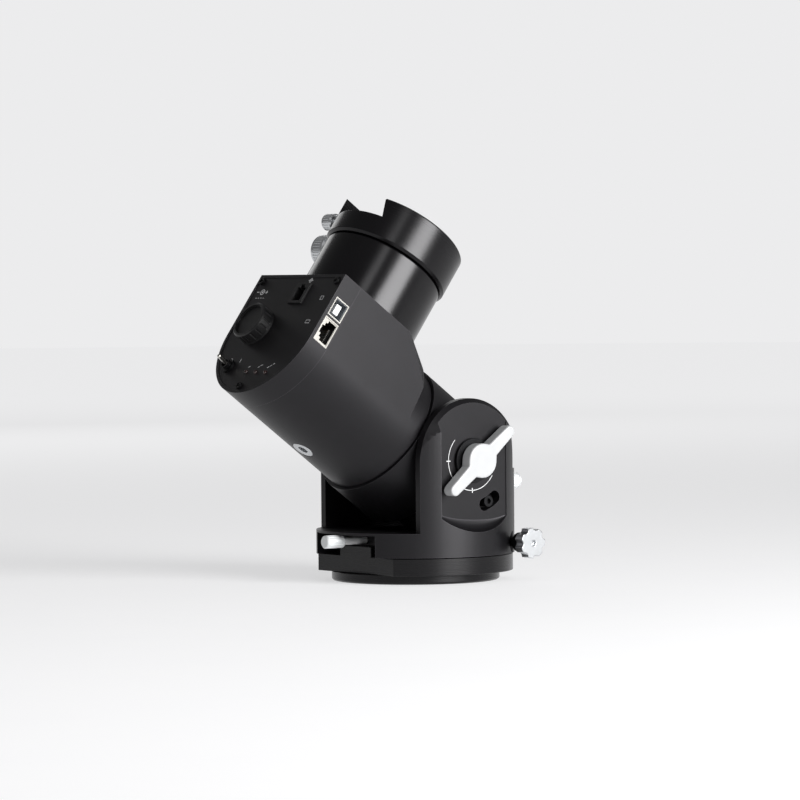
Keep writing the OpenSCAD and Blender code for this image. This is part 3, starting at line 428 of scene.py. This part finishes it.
def breakEdges(node, width):
    source = frame["nodes"][node]
    mesh = source.data.copy()
    bm = bmesh.new()
    bm.from_mesh(mesh)
    bmesh.ops.remove_doubles(bm, verts=bm.verts, dist=shapeSet["merge"] * mm)
    flat = math.radians(shapeSet["flatWithin"])
    bmesh.ops.dissolve_limit(bm, angle_limit=flat, verts=bm.verts, edges=bm.edges)
    bm.to_mesh(mesh)
    bm.free()
    piece = newPiece(node + "Finished", mesh, bodyOf[node], source.data.materials[0])
    bevelEdges(piece, width, 2, shapeSet["breakAbove"])
    smoothMesh(mesh, shapeSet["sharpAbove"])
    piece.modifiers.new("weighted", "WEIGHTED_NORMAL").keep_sharp = True
    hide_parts(node)


for node, width in edgeBreak.items():
    breakEdges(node, width)
print("machined parts finished:", len(edgeBreak))

# The foot of the pocket in each cheek is cut with a round-nosed cutter, which leaves a hollow fillet
# as deep as the pocket's wall there: none at the corners, the most in the middle
pocketSet = {"radius": 41.5, "half": 24.9, "share": 0.93, "steps": 48, "profile": 8, "sink": 0.05}


def pocketFoot(name, side):
    radius, sink = pocketSet["radius"] * mm, pocketSet["sink"] * mm
    corner = math.asin(pocketSet["half"] * mm / radius)
    bm = bmesh.new()
    rows = []
    for i in range(pocketSet["steps"] + 1):
        angle = -corner + 2 * corner * i / pocketSet["steps"]
        x = pivot.x + radius * math.sin(angle)
        fillet = pocketSet["share"] * (math.sqrt(forkRadius ** 2 - x ** 2) - cheekFlat)
        turns = [math.pi / 2 * k / pocketSet["profile"] for k in range(pocketSet["profile"] + 1)]
        profile = [(radius - fillet + fillet * math.sin(turn), cheekFlat + fillet - fillet * math.cos(turn))
                   for turn in turns]
        profile += [(radius + sink, cheekFlat + fillet), (radius + sink, cheekFlat - sink),
                    (radius - fillet, cheekFlat - sink)]
        rows.append([bm.verts.new((pivot.x + r * math.sin(angle), side * y, pivot.z - r * math.cos(angle)))
                     for r, y in profile])
    joinRows(bm, rows)
    mesh = finishMesh(name, bm)
    newPiece(name, mesh, "fork", materials["fork"])
    smoothMesh(mesh, shapeSet["knurlAbove"])


pocketFoot("pocketFootWest", west)
pocketFoot("pocketFootEast", eastSide)
print("pockets finished")

# Knurled parts keep their CAD shape and only get smooth sides
for node in ("altitude_knob", "tilt_stop_knob", "clamp_knob", "safety_knob", "slot_bolts", "lever_studs",
             "altitude_screw", "switch_lever", "status_lights", "power_switch"):
    smoothMesh(frame["nodes"][node].data, shapeSet["knurlAbove"])


# Wing levers: hub and arms in one smooth outline, with a rounded rim. Sizes in mm, tilt in degrees;
# root and tip are half widths of an arm, clear is the gap under the arms.
leverSet = {
    "hub": 10.0, "root": 4.6, "tip": 3.3, "reach": 26.2, "fillet": 2.6, "rim": 0.9, "tilt": 39, "clear": 0.5,
    "steps": 40, "edgeAbove": 50,
}


def leverOutline():
    hub, reach, tip = leverSet["hub"], leverSet["reach"], leverSet["tip"]
    fillet, steps = leverSet["fillet"], leverSet["steps"]
    upper = []
    for i in range(-steps, steps + 1):
        x = reach * i / steps
        arm = leverSet["root"] + (tip - leverSet["root"]) * abs(x) / reach
        disc = math.sqrt(max(hub * hub - x * x, 0))
        near = max(fillet - abs(arm - disc), 0) / fillet  # 1 where arm and hub meet
        upper.append((x, max(arm, disc) + near * near * fillet / 4))
    turns = [math.radians(angle) for angle in range(75, -76, -15)]
    right = [(reach + tip * math.cos(turn), tip * math.sin(turn)) for turn in turns]
    lower = [(x, -y) for x, y in reversed(upper)]
    left = [(-x, -y) for x, y in right]
    return upper + right + lower + left


def makeLever(node, side):
    low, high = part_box(node)
    near, far = sorted((abs(low.y), abs(high.y)))
    near += leverSet["clear"] * mm
    turn = math.radians(-side * leverSet["tilt"])
    place = cheekFrame(side) @ Matrix.Rotation(turn, 4, "Z")
    bm = bmesh.new()
    outline = leverOutline()
    bottom = [bm.verts.new(place @ Vector((x * mm, y * mm, near))) for x, y in outline]
    top = [bm.verts.new(place @ Vector((x * mm, y * mm, far))) for x, y in outline]
    count = len(outline)
    bm.faces.new(bottom[::-1])
    bm.faces.new(top)
    for i in range(count):
        bm.faces.new((bottom[i], bottom[(i + 1) % count], top[(i + 1) % count], top[i]))
    mesh = finishMesh(node + "Finished", bm)
    piece = newPiece(node + "Finished", mesh, bodyOf[node], materials["lever"])
    bevelEdges(piece, leverSet["rim"], 4, leverSet["edgeAbove"])
    smoothMesh(mesh, leverSet["edgeAbove"])
    piece.modifiers.new("weighted", "WEIGHTED_NORMAL").keep_sharp = True
    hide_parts(node)


makeLever("tilt_lever_west", west)
makeLever("tilt_lever_east", eastSide)
print("levers made")


# Printed marks

inkSet = {"thick": 0.06, "sink": 0.02}


# A flat strip along a line of points, as screen-printed ink lies on the metal
def ribbon(bm, place, height, points, width, closed=False):
    thick = inkSet["thick"]
    points = [Vector(p) for p in points]
    count = len(points)
    rows = []
    for i, point in enumerate(points):
        before = points[(i - 1) % count] if closed else points[max(i - 1, 0)]
        after = points[(i + 1) % count] if closed else points[min(i + 1, count - 1)]
        side = (after - before).normalized().orthogonal() * width / 2
        corners = []
        for offset, level in ((side, 0), (-side, 0), (-side, thick), (side, thick)):
            flat = point + offset
            at = Vector((flat.x * mm, flat.y * mm, height + (level - inkSet["sink"]) * mm))
            corners.append(bm.verts.new(place @ at))
        rows.append(corners)
    joinRows(bm, rows, ring=closed)


def arc(centre, radius, start, stop, steps=48):
    angles = [math.radians(start + (stop - start) * i / steps) for i in range(steps + 1)]
    return [(centre[0] + radius * math.cos(a), centre[1] + radius * math.sin(a)) for a in angles]


def printMarks(name, place, height, strokes, body):
    bm = bmesh.new()
    for points, width, closed in strokes:
        ribbon(bm, place, height, points[:-1] if closed else points, width, closed)
    newPiece(name, finishMesh(name, bm), body, materials["ink"])


# Part of a ring round each lever, with a tick at the level and one at the foot. Angles in degrees.
cheekMark = {
    "radius": 17.5, "line": 0.32, "from": 136, "to": 328, "tick": 1.4, "tickLine": 0.5, "ticks": (180, 270),
}


def cheekMarks(name, side):
    radius, end = cheekMark["radius"], cheekMark["tick"]
    strokes = [(arc((0, 0), radius, cheekMark["from"], cheekMark["to"], 96), cheekMark["line"], False)]
    for angle in cheekMark["ticks"]:
        across, up = math.cos(math.radians(angle)), math.sin(math.radians(angle))
        tick = [(length * across, length * up) for length in (radius - end, radius + end)]
        strokes.append((tick, cheekMark["tickLine"], False))
    printMarks(name, cheekFrame(side), cheekFlat, strokes, "fork")


cheekMarks("latitudeMarkWest", west)
cheekMarks("latitudeMarkEast", eastSide)

# Marks on the panel, as distance east then height above the polar axis, in mm
panelTop = boxIn("control_panel", polarFrame)[1].z
panelMark = {"line": 0.45, "fine": 0.35}


def swapped(points):
    return [(h, e) for e, h in points]


def panelMarks():
    line, fine = panelMark["line"], panelMark["fine"]
    strokes = []
    # polarity: minus, ring with a dot, plus
    strokes.append((swapped([(36.0, 29.8), (33.8, 29.8)]), line, False))
    strokes.append((swapped(arc((30.6, 29.8), 1.7, 0, 360, 32)), line, True))
    strokes.append((swapped(arc((30.6, 29.8), 0.45, 0, 360, 16)), 0.5, True))
    strokes.append((swapped([(27.6, 29.8), (25.4, 29.8)]), line, False))
    strokes.append((swapped([(26.5, 30.9), (26.5, 28.7)]), line, False))
    # dashes under it
    for i in range(4):
        strokes.append((swapped([(34.5 - 2.4 * i, 25.6), (33.1 - 2.4 * i, 25.6)]), fine, False))
    # guide socket: crosshair
    strokes.append((swapped(arc((-10.4, 38.0), 1.2, 0, 360, 24)), fine, True))
    strokes.append((swapped([(-12.6, 38.0), (-8.2, 38.0)]), fine, False))
    strokes.append((swapped([(-10.4, 39.8), (-10.4, 36.2)]), fine, False))
    # side sockets: a square and a bar
    square = [(-31.6, 24.6), (-29.2, 24.6), (-29.2, 27.0), (-31.6, 27.0), (-31.6, 24.6)]
    strokes.append((swapped(square), fine, True))
    bar = [(-31.4, 8.2), (-27.8, 8.2), (-27.8, 10.2), (-31.4, 10.2), (-31.4, 8.2)]
    strokes.append((swapped(bar), fine, True))
    # switch: off ring and on bar
    strokes.append((swapped(arc((22.8, -18.4), 1.0, 0, 360, 24)), line, True))
    strokes.append((swapped([(13.4, -17.4), (13.4, -19.8)]), line, False))
    # lights: one, two and three dashes
    for light in range(3):
        at = (1.4 - 9.2 * light, -23.2)
        for dash in range(light + 1):
            start = (at[0] + 0.6 - 1.9 * dash, at[1] + 1.2 * dash)
            strokes.append((swapped([start, (start[0] - 1.4, start[1] + 0.9)]), fine, False))
    return strokes


printMarks("panelMarks", polarFrame, panelTop, panelMarks(), "dec_unit")
print("marks printed")


# Sockets

# A piece from corners in mm in the polar frame
def meshPiece(name, verts, faces, body, material, width=0.0):
    bm = bmesh.new()
    made = [bm.verts.new(polarFrame @ (Vector(v) * mm)) for v in verts]
    for face in faces:
        bm.faces.new([made[i] for i in face])
    piece = newPiece(name, finishMesh(name, bm), body, materials[material])
    if width:
        bevelEdges(piece, width, 2, 30)


# An outline in the side of the port ring, drawn in from y0 to y1
def prism(outline, y0, y1):
    count = len(outline)
    verts = [(x, y0, z) for x, z in outline] + [(x, y1, z) for x, z in outline]
    faces = [tuple(range(count)), tuple(range(2 * count - 1, count - 1, -1))]
    faces += [(i, (i + 1) % count, count + (i + 1) % count, count + i) for i in range(count)]
    return verts, faces


# A plate with a hole of the same number of corners
def holedPlate(outer, inner, y0, y1):
    count = len(outer)
    verts = [(x, y, z) for outline in (outer, inner) for y in (y0, y1) for x, z in outline]
    faces = []
    for i in range(count):
        j = (i + 1) % count
        outFront, outBack, inFront, inBack = (k * count for k in range(4))
        faces.append((outFront + i, outFront + j, inFront + j, inFront + i))
        faces.append((outBack + i, inBack + i, inBack + j, outBack + j))
        faces.append((outFront + i, outBack + i, outBack + j, outFront + j))
        faces.append((inFront + i, inFront + j, inBack + j, inBack + i))
    return verts, faces


def rectangle(x0, x1, z0, z1):
    return [(x0, z0), (x1, z0), (x1, z1), (x0, z1)]


# Side sockets, mm: metal wall, plastic liner, its inset behind the face, its depth and back
socketSet = {"wall": 0.8, "liner": 0.35, "overlap": 0.02, "inset": 0.6, "depth": 11.5, "back": 0.8}


def socketLiner(name, node, material):
    low, high = boxIn(node, polarFrame)
    wall, liner, overlap = socketSet["wall"], socketSet["liner"], socketSet["overlap"]
    x0, x1 = low.x / mm + wall - overlap, high.x / mm - wall + overlap
    z0, z1 = low.z / mm + wall - overlap, high.z / mm - wall + overlap
    y0 = low.y / mm + socketSet["inset"]
    y1 = y0 + socketSet["depth"]
    outer = rectangle(x0, x1, z0, z1)
    inner = rectangle(x0 + liner, x1 - liner, z0 + liner, z1 - liner)
    verts, faces = holedPlate(outer, inner, y0, y1)
    meshPiece(name + "Walls", verts, faces, "dec_unit", material)
    verts, faces = prism(outer, y1, y1 + socketSet["back"])
    meshPiece(name + "Back", verts, faces, "dec_unit", material)
    return x0, x1, y0, z0, z1


# Network socket, mm: side lip, half width of the latch notch as a share of the socket, heights of the
# hole's steps (first from below, the rest down from the top), then its eight contacts
networkSet = {
    "lip": 0.7, "notch": 0.17, "shoulder": 1.9, "floor": 0.3, "steps": (3.2, 1.9, 0.5), "front": (-0.3, 0.5),
    "contacts": 8, "pitch": 1.02, "half": 0.2, "low": 0.5, "high": 0.85, "reach": (5, 10.5),
}


def networkSocket():
    x0, x1, y0, z0, z1 = socketLiner("networkLiner", "network_socket", "socketAbs")
    middle = (x0 + x1) / 2
    half, notch = (x1 - x0) / 2 - networkSet["lip"], (x1 - x0) * networkSet["notch"]
    wide = notch * networkSet["shoulder"]
    floor = z0 + networkSet["floor"]
    top1, top2, top3 = (z1 - step for step in networkSet["steps"])
    # the stepped hole is left open between upright bars
    starts = [(middle - half, top1), (middle - wide, top2), (middle - notch, top3), (middle + notch, top2),
              (middle + wide, top1), (middle + half, top1)]
    bars = [(x0, middle - half, z0, z1), (middle + half, x1, z0, z1)]
    for (left, top), (right, _) in zip(starts[:-1], starts[1:]):
        bars += [(left, right, z0, floor), (left, right, top, z1)]
    front, back = (y0 + y for y in networkSet["front"])
    for i, bar in enumerate(bars):
        verts, faces = prism(rectangle(*bar), front, back)
        meshPiece("networkMouth%d" % i, verts, faces, "dec_unit", "shield")
    low, high = z0 + networkSet["low"], z0 + networkSet["high"]
    near, far = (y0 + y for y in networkSet["reach"])
    for i in range(networkSet["contacts"]):
        x = middle + networkSet["pitch"] * (i - (networkSet["contacts"] - 1) / 2)
        verts, faces = prism(rectangle(x - networkSet["half"], x + networkSet["half"], low, high), near, far)
        meshPiece("networkContact%d" % i, verts, faces, "dec_unit", "bronze")


# Data socket, mm: half width, half height, reach and rounding of its tongue
dataSet = {"halfWidth": 3.1, "halfHeight": 1.9, "reach": (0.6, 11), "round": 0.3}


def dataSocket():
    x0, x1, y0, z0, z1 = socketLiner("dataLiner", "data_socket", "greyAbs")
    middle, level = (x0 + x1) / 2, (z0 + z1) / 2
    width, height = dataSet["halfWidth"], dataSet["halfHeight"]
    near, far = (y0 + y for y in dataSet["reach"])
    outline = rectangle(middle - width, middle + width, level - height, level + height)
    verts, faces = prism(outline, near, far)
    meshPiece("dataTongue", verts, faces, "dec_unit", "whiteAbs", width=dataSet["round"])


networkSocket()
dataSocket()
print("sockets lined")

makeCamera()
makeLights()
makeWorld()
makeFloor()
bpy.context.scene.view_settings.view_transform = "Standard"  # deep blacks and clean whites
print("stage set")
